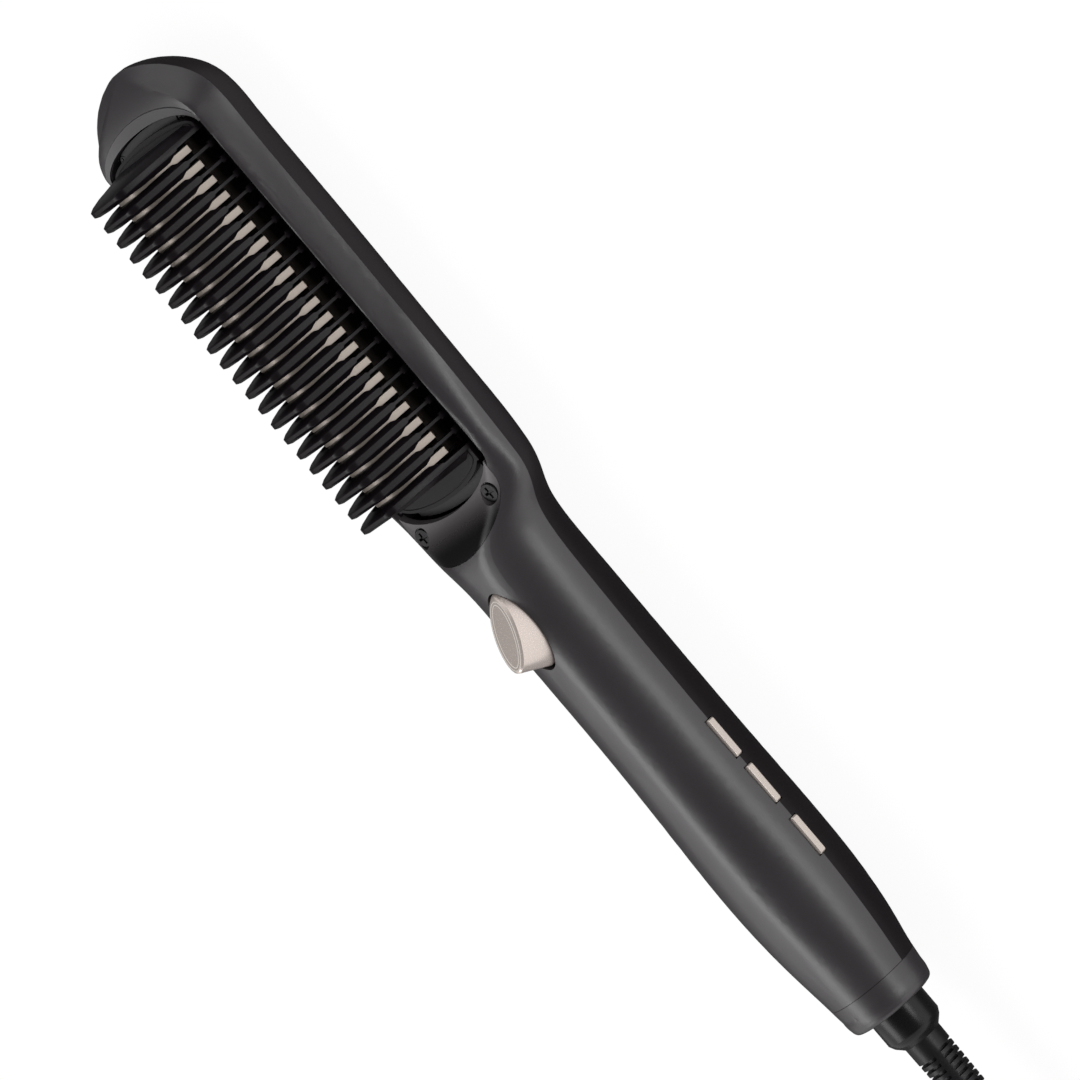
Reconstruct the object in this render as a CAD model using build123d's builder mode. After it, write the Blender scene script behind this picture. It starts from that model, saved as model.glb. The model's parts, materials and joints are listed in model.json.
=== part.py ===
"""Hair straightening brush: a corded hot brush with a squeeze lever that closes its comb on the heated fins.

Millimetres. The long axis is X, with the tip of the head at -X and the cord end at +X. Z is up: the
brush lies on its back, the teeth point up, and the origin is under its middle. Lengths along the brush
are stations, measured from the tip of the head.
"""

import os
from math import cos, hypot, radians, sin, sqrt

from build123d import *

ON_TOP = (Align.CENTER, Align.CENTER, Align.MIN)      # stands on its place

# Overall
AXIS_Z = 16.0            # height of the handle's and the cord's axis over the back
HEAD_HALF = 24.3         # half width of the head at the crease
WALL = 2.0               # shell thickness
CAP_SEAM = 275.0         # station where the shells end and the cap begins
CAP_END = 283.2          # station of the cap's end face
COLLAR_END = 290.0
SHOULDER_END = 293.2
RELIEF_LENGTH = 39.8
LENGTH = SHOULDER_END + RELIEF_LENGTH

# Body form
PART_TIP_Z = 12.6        # height of the crease at the tip; it climbs to the axis at the cap
TIP_PLAN = 18.0          # length over which the head's plan closes to its tip
TIP_RISE = 22.0          # length over which the back rises to the tip
PLAN_POWER = 1.3         # over 1 makes the tip's plan slimmer than an ellipse
FRONT_POWER = 2.0        # how fast the front falls off towards the tip, and its flat narrows
FLAT_POWER = 3.0
# Fullness of the back's corners and of the front's
TIP_BACK_K, NECK_BACK_K, HANDLE_BACK_K, CAP_BACK_K = 0.62, 0.54, 0.40, 0.50
TIP_FRONT_K, FRONT_K, CAP_FRONT_K = 0.30, 0.50, 0.55
HEAD_FLAT, HANDLE_FLAT = 6.0, 3.0         # half widths of the flat on the back
LIP_FLAT, RIDGE_FLAT = 20.1, 2.0          # half widths of the flat on the front
NECK_START, NECK_END = 117.0, 145.0
TAIL_START = 256.0
BACK_CUT = 0.15          # planed off the back to make it flat
BACK = AXIS_Z + BACK_CUT
# station, half width, front and back measured from the axis
BODY = (
    (TIP_PLAN, HEAD_HALF, 3.4, BACK), (26.0, HEAD_HALF, 3.4, BACK), (50.0, HEAD_HALF, 3.4, BACK),
    (80.0, 24.2, 3.4, BACK), (108.0, 23.9, 3.4, BACK), (118.0, 23.5, 3.45, BACK), (124.0, 23.2, 4.1, BACK),
    (128.0, 22.8, 5.2, BACK), (131.0, 21.8, 6.8, BACK), (134.0, 20.1, 9.0, BACK),
    (137.0, 18.1, 11.1, BACK), (140.0, 16.7, 12.3, BACK), (145.0, 15.6, 12.8, BACK),
    (156.0, 14.9, 12.9, BACK), (190.0, 14.5, 13.2, BACK), (215.0, 14.8, 13.9, BACK),
    (240.0, 15.5, 14.6, BACK), (258.0, 14.7, 13.9, 15.2), (267.0, 13.7, 13.1, 14.1),
    (CAP_SEAM, 12.5, 12.4, 12.6), (279.0, 12.0, 12.0, 12.1), (281.7, 11.3, 11.3, 11.3),
    (282.8, 10.5, 10.5, 10.5), (CAP_END, 9.7, 9.7, 9.7),
)

# Recess and what frames it
LIP_Z = AXIS_Z + 3.4
RECESS_HALF = 19.2
RECESS_TIP, RECESS_TAIL = 13.6, 128.1     # stations of the ends of the recess
TIP_BOW, TAIL_BOW = 6.4, 8.0              # how far the rounded ends bulge
FLANGE = 1.5             # wall that hangs from the lip
LIP_BEVEL = 0.6
COVER_CENTRE, COVER_HALF, COVER_REACH = 126.0, 18.6, 12.3
SEAM_GAP = 0.12
COVER_SCREW = (129.0, 14.5)               # station and distance to each side
COVER_SCREW_TOP = 21.25
COVER_HEAD_R, COVER_HEAD = 2.3, 1.2
COVER_SEAT = 0.8         # material under a sunk head of the cover
SHANK_R, SCREW_HOLE_R = 1.1, 1.15
COUNTERBORE = 0.3        # radial room round a sunk screw head
POST_R = 2.7

# Comb
TOOTH_COUNT = 22
PITCH = 4.576
FIRST_TOOTH = 21.1
TOOTH_BASE_HALF, TOOTH_BASE_Z = 17.3, 19.5
TOOTH_TOP_HALF, TOOTH_TOP_Z = 6.25, 41.5
TOOTH_ROUND = 3.6
WEB = 0.75
RIDGE_HALF = 0.72        # half width of the ridge along a tooth's edge
RIM_HALF = 2.0           # half thickness of the rim at its shoulder
BEVEL_DEPTH = 2.0        # how far in from the edge the rim reaches that thickness
RIM_DEPTH = 2.85         # width of the rim, square to the edge
SHOULDER_LOW, SHOULDER_HIGH = 25.4, 27.2
LEAF = ((2.0, 31.0), (1.85, 35.0), (1.35, 39.0), (0.75, 41.0), (0.4, TOOTH_TOP_Z))   # half thickness, height
END_HALF = 2.6           # half thickness at the foot of the two end teeth, outside
HEAD_DEPTH, HEAD_WIDTH = 0.7, 1.7         # the small head where a web meets its rail
GROOVE_IN, GROOVE, GROOVE_DEPTH = 1.0, 0.3, 0.25    # fine line along the edge of an end plate
LEG = 3.3                # how far a web's leg reaches in from its end
TRIGGER_ANGLE = 10.0
CRANK = 4.9              # from the lever's pin down to the pin that drives the rod
COMB_TRAVEL = CRANK * sin(radians(TRIGGER_ANGLE))
RAIL_IN = 14.4
RAIL_LOW, RAIL_TOP = 13.0, 15.6
END_PLATE = 1.7
END_BAR = 3.0            # length of the bar across the rails at the tail
COMB_TIP_BOW, COMB_TAIL_BOW = 3.6, 5.5
COMB_TIP_FLAT, COMB_TAIL_FLAT = 1.6, 2.5  # from an end tooth to the start of the bow
SLIDE_GAP = 0.3

# Heated plate
PLATE_HALF = 11.0
PLATE_TOP = 19.9
PLATE_THICK = 3.0
FIN_THICK, FIN_TOP_THICK = 1.85, 1.0
FIN_HALF, FIN_LOW_Z = 12.85, 21.2         # where a fin is widest; it slants in to the plate below
FIN_TOP_HALF, FIN_TOP_Z = 6.0, 34.7
FIN_TAPER_Z = 28.5
FIN_ROUND = 2.2
FIN_CLEARANCE = 0.4
CHANNEL_HALF = 6.2       # the heater lies between two ribs under the plate
CHANNEL_RIB = 2.0
CHANNEL_DEPTH = 4.0
HEATER_THICK = 2.4
HEATER_MARGIN = 8.5      # from the plate's ends to the heater
CLIP_THICK = 0.5
PLATE_BOSS_R, PLATE_BOSS_INSET = 3.0, 4.0
FUSE_R, FUSE_LENGTH, FUSE_STATION = 1.5, 10.0, 60.0
THERMISTOR = (80.0, 3.0, 1.6)             # station, side and thickness

# Chassis
CHASSIS_GAP = 0.3
CHASSIS_LOW, CHASSIS_FLOOR = 7.6, 1.6
LEDGE_Z, LEDGE = 17.3, 2.0
LEDGE_TIP_END, LEDGE_TAIL_START = 17.9, 122.1
GUIDE = 2.0              # thickness of the walls under the rails
LEDGE_HALF = 14.4
TIP_SCREW = (16.9, 13.0)
TIP_SCREW_TUBE_R = 1.9
TIP_SHANK_R, TIP_HOLE_R = 0.8, 0.85
TIP_HEAD_R, TIP_HEAD = 1.15, 0.8
TIP_HEAD_SUNK = 0.2

# Trigger
LEVER_BASE = (158.9, 10.7, 5.05)          # station of its middle, half length and half width
LEVER_FACE = (157.2, 8.3, 4.5)            # the same of the sloping oval that the finger pulls
LEVER_BASE_Z, LEVER_FACE_Z = 28.3, 33.5
LEVER_SLOPE = 0.5
LEVER_BEVEL = 0.45
SLOT_SHIFT, SLOT_PLAY, SLOT_GAP = 0.2, 0.65, 0.35   # the slot's room round the lever, more at its ends
PIVOT = (149.6, 24.0)    # station and height of the lever's pin
PIVOT_R = 1.25
PIN_GAP = 0.02           # radial room of a pin in the hole that holds it
RUNNING = 0.05           # radial running clearance of pins in their holes
HUB_R, HUB_HALF = 2.2, 3.4
LINK_PIN_R, LINK_PIN_HALF = 1.0, 3.6
CRANK_HALF, CRANK_WIDTH = 1.4, 3.4
EAR_IN, EAR_OUT, EAR_HEIGHT, EAR_LENGTH = 4.9, 7.4, 6.4, 6.0
LEVER_LOW = 23.6
SPRING_STATION, SPRING_LOW = 161.0, 12.0
SPRING_R, SPRING_WIRE_R, SPRING_PITCH = 2.6, 0.4, 2.0

# Link rod
ROD_HALF, ROD_THICK = 4.0, 1.9
ROD_RISE = (132.0, 139.0)                 # stations between which the rod steps up
FORK_IN, FORK_REACH = 1.8, 2.2
FORK_FLOOR, FORK_RISE = 1.1, 1.6            # below the pin, and from its axis to the prongs' tops
FORK_PLAY = 0.08

# Buttons: name, station of the middle
BUTTONS = (("high", 208.1), ("low", 222.1), ("power", 238.0))
BUTTON_LENGTH, BUTTON_HEIGHT = 11.0, 2.4
BUTTON_ROUND = 0.6
BUTTON_GAP = 0.2
BUTTON_PROUD = 0.6
BUTTON_TRAVEL = 0.7
BUTTON_FLANGE = 0.8      # how far the flange stands out round the button, and its thickness
FLANGE_GAP = 0.35
STEM_R = 1.5
SIDE_BOARD_W, SIDE_BOARD = 6.0, 1.2       # its inner face and its thickness
SIDE_BOARD_START, SIDE_BOARD_END, SIDE_BOARD_TOP = 200.0, 246.0, 20.4
SWITCH_DEPTH, SWITCH_SIZE = 2.4, 4.5
PLUNGER_R, PLUNGER_PROUD, PLUNGER_LENGTH = 1.1, 0.9, 2.35
SWITCH_FLOOR = 0.15

# Boards
BOARD_Z, BOARD = 8.0, 1.6
BOARD_START, BOARD_END, BOARD_HALF = 176.0, 252.0, 9.6
BOARD_RIBS = (180.0, 214.0, 248.0)
RIB = 1.6
LEAD_R, LEAD_W = 0.8, 5.0

# Cord end
COLLAR_R, COLLAR_START, COLLAR_GAP = 7.5, 272.0, 0.1
FLANGE_R, FLANGE_LENGTH = 8.8, 2.0
CAP_BORE_R, CAP_WALL = 9.6, 2.3
SPIGOT_R, SPIGOT, SPIGOT_LENGTH = 10.0, 1.1, 4.0
BUSH_LENGTH = 4.0
BLOCK_R, BLOCK_START, BLOCK_LENGTH = 5.5, 262.5, 8.0
CONTACT_R, CONTACT_START = 1.5, 266.0
RELIEF_R, RELIEF_END_R = 5.05, 4.5
RELIEF_SLOTS, RELIEF_PITCH, RELIEF_SLOT = 15, 1.85, 0.85
RELIEF_FIRST = 4.0       # from the shoulder to the first slot
SPINE_HALF, SPINE_ANGLE = 0.85, 40.0
RELIEF_CORE = 3.5
CORD_BORE_R, CORD_BORE = 3.0, 8.0


def at(station):
    """X of a station, with the origin under the middle of the brush."""
    return station - LENGTH / 2


def parting_z(station):
    """Height of the plane where the two shells meet."""
    return PART_TIP_Z + (AXIS_Z - PART_TIP_Z) * min(station / CAP_SEAM, 1.0)


def ease(station, start, end):
    """0 before start, 1 after end and a smooth change between them."""
    share = min(max((station - start) / (end - start), 0.0), 1.0)
    return share * share * (3 - 2 * share)


def surface(station, column):
    """A column of BODY between its stations: 1 half width, 2 front, 3 back."""
    for low, high in zip(BODY, BODY[1:]):
        if low[0] <= station <= high[0]:
            share = (station - low[0]) / (high[0] - low[0])
            return low[column] + share * (high[column] - low[column])
    return BODY[0][column]


def body_sections(inset):
    """Station, half width, bottom and top height of each section of the body, set in by a wall."""
    for angle in (9, 18, 30, 43, 58, 74):
        share = sin(radians(angle))
        station = inset + (TIP_PLAN - inset) * (1 - cos(radians(angle)))
        part = parting_z(station)
        rise = (TIP_RISE - station) / (TIP_RISE - inset)
        depth = (part + BACK_CUT - inset) * sqrt(max(1 - rise * rise, 0.0))
        top = part + (LIP_Z - inset - part) * share ** FRONT_POWER
        yield station, (HEAD_HALF - inset) * share ** PLAN_POWER, part - depth, top, share
    for station, half, front, back in BODY:
        part = parting_z(station)
        rise = max(TIP_RISE - station, 0.0) / (TIP_RISE - inset)
        depth = (part - AXIS_Z + back - inset) * sqrt(1 - rise * rise)
        yield station, half - inset, part - depth, AXIS_Z + front - inset, 1.0


def body_solid(inset):
    """The whole outside of the body, or its hollow where inset is the wall."""
    with BuildPart() as body:
        for station, half, bottom, top, share in body_sections(inset):
            head, neck = ease(station, TIP_RISE, NECK_START), ease(station, NECK_START, NECK_END)
            tail, full = ease(station, TAIL_START, CAP_SEAM), share ** FLAT_POWER
            low_flat = (HEAD_FLAT + (HANDLE_FLAT - HEAD_FLAT) * neck) * (1 - 0.9 * tail) * share
            lip_flat = LIP_FLAT - 0.3 * inset
            top_flat = (lip_flat + (RIDGE_FLAT - lip_flat) * neck) * (1 - 0.85 * tail) * full
            low_k = TIP_BACK_K + (NECK_BACK_K - TIP_BACK_K) * head
            low_k += (HANDLE_BACK_K - NECK_BACK_K) * neck + (CAP_BACK_K - HANDLE_BACK_K) * tail
            top_k = TIP_FRONT_K + (FRONT_K - TIP_FRONT_K) * full + (CAP_FRONT_K - FRONT_K) * tail
            part = parting_z(station)
            with BuildSketch(Plane.YZ.offset(at(station))):
                with BuildLine():
                    right, left = (half, part), (-half, part)
                    for side, start in ((1, right), (-1, left)):
                        Bezier(
                            start,
                            (side * half, part - low_k * (part - bottom)),
                            (side * (low_flat + low_k * (half - low_flat)), bottom),
                            (side * low_flat, bottom),
                        )
                        Bezier(
                            start,
                            (side * half, part + top_k * (top - part)),
                            (side * (top_flat + top_k * (half - top_flat)), top),
                            (side * top_flat, top),
                        )
                    Line((-low_flat, bottom), (low_flat, bottom))
                    Line((-top_flat, top), (top_flat, top))
                make_face()
        loft()
    return body.part


def recess_shape(grow=0.0):
    """Plan of the recess, as a sketch: straight sides and bowed ends."""
    tip, tail = RECESS_TIP + TIP_BOW, RECESS_TAIL - TAIL_BOW
    with BuildSketch() as shape:
        with Locations((at((tip + tail) / 2), 0)):
            Rectangle(tail - tip, 2 * (RECESS_HALF + grow))
        with Locations((at(tip), 0)):
            Ellipse(TIP_BOW + grow, RECESS_HALF + grow)
        with Locations((at(tail), 0)):
            Ellipse(TAIL_BOW + grow, RECESS_HALF + grow)
    return shape.sketch


def cover_shape(shrink=0.0):
    """Plan of the cover plate behind the recess, as a sketch."""
    start = RECESS_TAIL - TAIL_BOW - 1
    with BuildSketch() as shape:
        with Locations((at((start + COVER_CENTRE) / 2), 0)):
            Rectangle(COVER_CENTRE - start, 2 * (COVER_HALF - shrink))
        with Locations((at(COVER_CENTRE), 0)):
            Ellipse(COVER_REACH - shrink, COVER_HALF - shrink)
    return shape.sketch


def screw(head_r, head_height, shank_r, shank_length, slot):
    """A cross-head screw whose head's top lies at the origin and whose shank points down."""
    with BuildPart() as made:
        with BuildSketch(Plane.XY.offset(-head_height)):
            Circle(head_r)
        extrude(amount=head_height)
        with BuildSketch(Plane.XY.offset(-head_height)):
            Circle(shank_r)
        extrude(amount=-shank_length)
        with BuildSketch():
            Rectangle(2 * slot, slot / 2.4)
            Rectangle(slot / 2.4, 2 * slot)
        extrude(amount=-0.6 * head_height, mode=Mode.SUBTRACT)
    return made.part


with BuildPart() as outside:
    add(body_solid(0.0))
    split(bisect_by=Plane.XY, keep=Keep.TOP)

outer = outside.part
hollow = body_solid(WALL)
slope = (AXIS_Z - PART_TIP_Z) / CAP_SEAM
parting = Plane(
    origin=(at(0), 0, PART_TIP_Z),
    x_dir=(1, 0, slope),
    z_dir=(-slope / hypot(1, slope), 0, 1 / hypot(1, slope)),
)

# The body's wall, up to the seam of the cap
with BuildPart() as body_wall:
    add(outer)
    add(hollow, mode=Mode.SUBTRACT)
    split(bisect_by=Plane.YZ.offset(at(CAP_SEAM)), keep=Keep.BOTTOM)
    for button, station in BUTTONS:
        with Locations((at(station), surface(station, 1), parting_z(station))):
            Box(BUTTON_LENGTH + 2 * BUTTON_GAP, 3 * WALL, BUTTON_HEIGHT + 2 * BUTTON_GAP, mode=Mode.SUBTRACT)

# Front shell: the recess's flange and the ears of the lever's pin hang from it
with BuildPart() as recess_flange:
    with BuildSketch(Plane.XY.offset(PART_TIP_Z)):
        add(recess_shape(FLANGE))
    extrude(amount=AXIS_Z)
    add(outer, mode=Mode.INTERSECT)

with BuildPart() as pivot_ears:
    for side in (1, -1):
        with Locations((at(PIVOT[0]), side * (EAR_IN + EAR_OUT) / 2, PIVOT[1])):
            Box(EAR_LENGTH, EAR_OUT - EAR_IN, EAR_HEIGHT)
    add(outer, mode=Mode.INTERSECT)

with BuildPart() as front_shell:
    add(body_wall.part)
    add(recess_flange.part)
    add(pivot_ears.part)
    split(bisect_by=parting, keep=Keep.TOP)
    with BuildSketch(Plane.XY):
        add(recess_shape())
        add(cover_shape())
    extrude(amount=3 * AXIS_Z, mode=Mode.SUBTRACT)
    with BuildSketch(Plane.XY.offset(LIP_Z - LIP_BEVEL)):
        add(recess_shape())
    extrude(amount=2 * LIP_BEVEL, taper=-45, mode=Mode.SUBTRACT)
    with BuildSketch(Plane.XY.offset(AXIS_Z)):
        with Locations((at(LEVER_BASE[0] + SLOT_SHIFT), 0)):
            Ellipse(LEVER_BASE[1] + SLOT_PLAY, LEVER_BASE[2] + SLOT_GAP)
    extrude(amount=AXIS_Z, mode=Mode.SUBTRACT)
    with Locations((at(PIVOT[0]), 0, PIVOT[1])):
        Cylinder(PIVOT_R + PIN_GAP, 2 * EAR_OUT + 1, rotation=(90, 0, 0), mode=Mode.SUBTRACT)

# Cover plate, cut from the same surface as the front shell
with BuildPart() as cover_plate:
    add(body_wall.part)
    with BuildSketch(Plane.XY.offset(AXIS_Z)):
        add(cover_shape(SEAM_GAP))
        add(recess_shape(), mode=Mode.SUBTRACT)
    extrude(amount=AXIS_Z, mode=Mode.INTERSECT)
    for side in (1, -1):
        with Locations((at(COVER_SCREW[0]), side * COVER_SCREW[1], COVER_SCREW_TOP - COVER_HEAD)):
            Cylinder(SCREW_HOLE_R, 4 * WALL, mode=Mode.SUBTRACT)
            Cylinder(COVER_HEAD_R + COUNTERBORE, 4 * WALL, align=ON_TOP, mode=Mode.SUBTRACT)

cover_post_top = COVER_SCREW_TOP - COVER_HEAD - COVER_SEAT
with BuildPart() as cover_screws:
    with Locations(*[(at(COVER_SCREW[0]), side * COVER_SCREW[1], COVER_SCREW_TOP) for side in (1, -1)]):
        add(screw(COVER_HEAD_R, COVER_HEAD, SHANK_R, 9.0, 1.5))

# Rear shell: posts for the screws and ribs that carry the boards
board_top = BOARD_Z + BOARD
with BuildPart() as rear_fittings:
    with Locations(*[(at(COVER_SCREW[0]), side * COVER_SCREW[1], 0) for side in (1, -1)]):
        Cylinder(POST_R, cover_post_top, align=ON_TOP)
    with Locations(*[(at(TIP_SCREW[0]), side * TIP_SCREW[1], 0) for side in (1, -1)]):
        Cylinder(POST_R, CHASSIS_LOW, align=ON_TOP)
    for station in (34.0, 106.0):
        with Locations((at(station), 0, 0)):
            Box(RIB, 2 * PLATE_HALF, CHASSIS_LOW, align=ON_TOP)
    for station in BOARD_RIBS:
        with Locations((at(station), 0, 0)):
            Box(RIB, 2 * BOARD_HALF, BOARD_Z, align=ON_TOP)
    for station in (BOARD_RIBS[0], BOARD_RIBS[-1]):
        with Locations((at(station), 0, 0)):
            Cylinder(POST_R, BOARD_Z, align=ON_TOP)
    with Locations((at(SPRING_STATION), 0, 0)):
        Cylinder(SPRING_R + 2 * SPRING_WIRE_R, SPRING_LOW, align=ON_TOP)
        Cylinder(SPRING_R - 2 * SPRING_WIRE_R, SPRING_LOW + 2, align=ON_TOP)
    with Locations((at(CONTACT_START), 0, 0)):
        Box(RIB, 2 * BLOCK_R, AXIS_Z - BLOCK_R, align=ON_TOP)
    with Locations(*[(at(COVER_SCREW[0]), side * COVER_SCREW[1], cover_post_top) for side in (1, -1)]):
        Cylinder(SCREW_HOLE_R, 20.0, mode=Mode.SUBTRACT)
    with Locations(*[(at(TIP_SCREW[0]), side * TIP_SCREW[1], CHASSIS_LOW) for side in (1, -1)]):
        Cylinder(TIP_HOLE_R, 9.0, mode=Mode.SUBTRACT)
    with Locations(*[(at(station), 0, BOARD_Z) for station in (BOARD_RIBS[0], BOARD_RIBS[-1])]):
        Cylinder(SCREW_HOLE_R, 10.0, mode=Mode.SUBTRACT)
    add(outer, mode=Mode.INTERSECT)

with BuildPart() as rear_shell:
    add(body_wall.part)
    split(bisect_by=parting, keep=Keep.BOTTOM)
    add(rear_fittings.part)
    add(cover_plate.part, mode=Mode.SUBTRACT)

# Chassis: floor, guides under the comb's rails, ledges at both ends and tubes round the tip screws
chassis_top = CHASSIS_LOW + CHASSIS_FLOOR
guide_top = RAIL_LOW - SLIDE_GAP
plate_start = FIRST_TOOTH + WEB / 2 + FIN_CLEARANCE
plate_end = FIRST_TOOTH + (TOOTH_COUNT - 1.5) * PITCH + FIN_THICK / 2
channel_low = PLATE_TOP - PLATE_THICK - CHANNEL_DEPTH
tip_screw_top = LEDGE_Z - TIP_HEAD_SUNK
boss_stations = (plate_start + PLATE_BOSS_INSET, plate_end - PLATE_BOSS_INSET)
with BuildPart() as chassis:
    with BuildSketch(Plane.XY.offset(CHASSIS_LOW)):
        add(recess_shape(-CHASSIS_GAP))
    extrude(amount=CHASSIS_FLOOR)
    for start, end in ((0, LEDGE_TIP_END), (LEDGE_TAIL_START, LENGTH)):
        with BuildSketch(Plane.XY.offset(LEDGE_Z - LEDGE)):
            add(recess_shape(-CHASSIS_GAP))
            with Locations((at((start + end) / 2), 0)):
                Rectangle(end - start, 2 * LEDGE_HALF, mode=Mode.INTERSECT)
        extrude(amount=LEDGE)
    with BuildSketch(Plane.XY.offset(chassis_top)):
        with Locations(*[(at(TIP_SCREW[0]), side * TIP_SCREW[1]) for side in (1, -1)]):
            Circle(TIP_SCREW_TUBE_R)
        add(recess_shape(-CHASSIS_GAP), mode=Mode.INTERSECT)
    extrude(amount=LEDGE_Z - LEDGE - chassis_top)
    for side in (1, -1):
        with Locations((at((plate_start + plate_end) / 2), side * (CHANNEL_HALF + CHANNEL_RIB / 2), chassis_top)):
            Box(plate_end - plate_start - 4, CHANNEL_RIB, channel_low - chassis_top, align=ON_TOP)
        with Locations((at((LEDGE_TIP_END + LEDGE_TAIL_START) / 2), side * (RAIL_IN + GUIDE / 2), chassis_top)):
            Box(LEDGE_TAIL_START - LEDGE_TIP_END, GUIDE, guide_top - chassis_top, align=ON_TOP)
        with Locations((at(LEDGE_TAIL_START + GUIDE), side * RAIL_IN / 1.5, chassis_top)):
            Box(GUIDE, 2 * GUIDE, LEDGE_Z - LEDGE - chassis_top, align=ON_TOP)
    with Locations(*[(at(TIP_SCREW[0]), side * TIP_SCREW[1], tip_screw_top - TIP_HEAD) for side in (1, -1)]):
        Cylinder(TIP_HOLE_R, 4 * LEDGE_Z, mode=Mode.SUBTRACT)
        Cylinder(TIP_HEAD_R + COUNTERBORE, 4 * TIP_HEAD, align=ON_TOP, mode=Mode.SUBTRACT)
    with Locations(*[(at(station), 0, CHASSIS_LOW) for station in boss_stations]):
        Cylinder(SCREW_HOLE_R, 4 * CHASSIS_FLOOR, mode=Mode.SUBTRACT)

with BuildPart() as tip_screws:
    with Locations(*[(at(TIP_SCREW[0]), side * TIP_SCREW[1], tip_screw_top) for side in (1, -1)]):
        add(screw(TIP_HEAD_R, TIP_HEAD, TIP_SHANK_R, 12.0, 0.8))

# Heated plate with its fins, the heater strip in its channel and what watches the heat
slab_low = PLATE_TOP - PLATE_THICK
with BuildPart() as fin:
    with BuildSketch(Plane.YZ):
        with BuildLine():
            Polyline(
                (-PLATE_HALF, PLATE_TOP - 1), (PLATE_HALF, PLATE_TOP - 1), (FIN_HALF, FIN_LOW_Z),
                (FIN_TOP_HALF, FIN_TOP_Z), (-FIN_TOP_HALF, FIN_TOP_Z), (-FIN_HALF, FIN_LOW_Z), close=True,
            )
        make_face()
        fillet(vertices().group_by(Axis.Y)[-1], FIN_ROUND)
    extrude(amount=FIN_THICK / 2, both=True)
    with BuildSketch(Plane.XZ):
        with BuildLine():
            Polyline(
                (-FIN_THICK / 2, 0), (FIN_THICK / 2, 0), (FIN_THICK / 2, FIN_TAPER_Z),
                (FIN_TOP_THICK / 2, FIN_TOP_Z), (-FIN_TOP_THICK / 2, FIN_TOP_Z),
                (-FIN_THICK / 2, FIN_TAPER_Z), close=True,
            )
        make_face()
    extrude(amount=2 * PLATE_HALF, both=True, mode=Mode.INTERSECT)

with BuildPart() as heat_plate:
    with Locations((at((plate_start + plate_end) / 2), 0, slab_low)):
        Box(plate_end - plate_start, 2 * PLATE_HALF, PLATE_THICK, align=ON_TOP)
    for side in (1, -1):
        with Locations((at((plate_start + plate_end) / 2), side * (CHANNEL_HALF + CHANNEL_RIB / 2), channel_low)):
            Box(plate_end - plate_start, CHANNEL_RIB, CHANNEL_DEPTH, align=ON_TOP)
    with Locations(*[(at(station), 0, chassis_top) for station in boss_stations]):
        Cylinder(PLATE_BOSS_R, slab_low - chassis_top, align=ON_TOP)
        Cylinder(SCREW_HOLE_R, slab_low - chassis_top, align=ON_TOP, mode=Mode.SUBTRACT)
    with Locations(*[(at(FIRST_TOOTH + (i + 0.5) * PITCH), 0, 0) for i in range(TOOTH_COUNT - 1)]):
        add(fin.part)

with BuildPart() as plate_screws:
    with Locations(*[Location((at(station), 0, CHASSIS_LOW - 1.0), (180, 0, 0)) for station in boss_stations]):
        add(screw(2.2, 1.0, SHANK_R, 7.0, 1.4))

heater_length = plate_end - plate_start - 2 * HEATER_MARGIN
heater_low = slab_low - HEATER_THICK
heater_middle = at((plate_start + plate_end) / 2)
with BuildPart() as heater:
    with Locations((heater_middle, 0, heater_low)):
        Box(heater_length, 2 * CHANNEL_HALF - 0.4, HEATER_THICK, align=ON_TOP)

with BuildPart() as heater_clip:
    with Locations((heater_middle, 0, heater_low - CLIP_THICK)):
        Box(heater_length, 2 * CHANNEL_HALF, CLIP_THICK, align=ON_TOP)

with BuildPart() as thermal_fuse:
    with Locations((at(FUSE_STATION), 0, heater_low - CLIP_THICK - FUSE_R)):
        Cylinder(FUSE_R, FUSE_LENGTH, rotation=(0, 90, 0))

with BuildPart() as thermistor:
    with Locations((at(THERMISTOR[0]), 0, heater_low - CLIP_THICK - THERMISTOR[2])):
        Box(THERMISTOR[1], THERMISTOR[1], THERMISTOR[2], align=ON_TOP)


def tooth_outline(inset, low, high=TOOTH_TOP_Z, rounding=TOOTH_ROUND):
    """A tooth's outline across the brush, set in from its edges, from one height to another."""
    lean = (TOOTH_BASE_HALF - TOOTH_TOP_HALF) / (TOOTH_TOP_Z - TOOTH_BASE_Z)

    def half(height):
        return TOOTH_BASE_HALF - lean * (max(height, TOOTH_BASE_Z) - TOOTH_BASE_Z) - inset * hypot(1, lean)

    with BuildSketch() as outline:
        with BuildLine():
            Polyline(
                (-half(low), low), (half(low), low), (half(TOOTH_BASE_Z), TOOTH_BASE_Z), (half(high), high),
                (-half(high), high), (-half(TOOTH_BASE_Z), TOOTH_BASE_Z), close=True,
            )
        make_face()
        fillet(outline.vertices().group_by(Axis.Y)[-1], rounding)
    return outline.sketch


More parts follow.
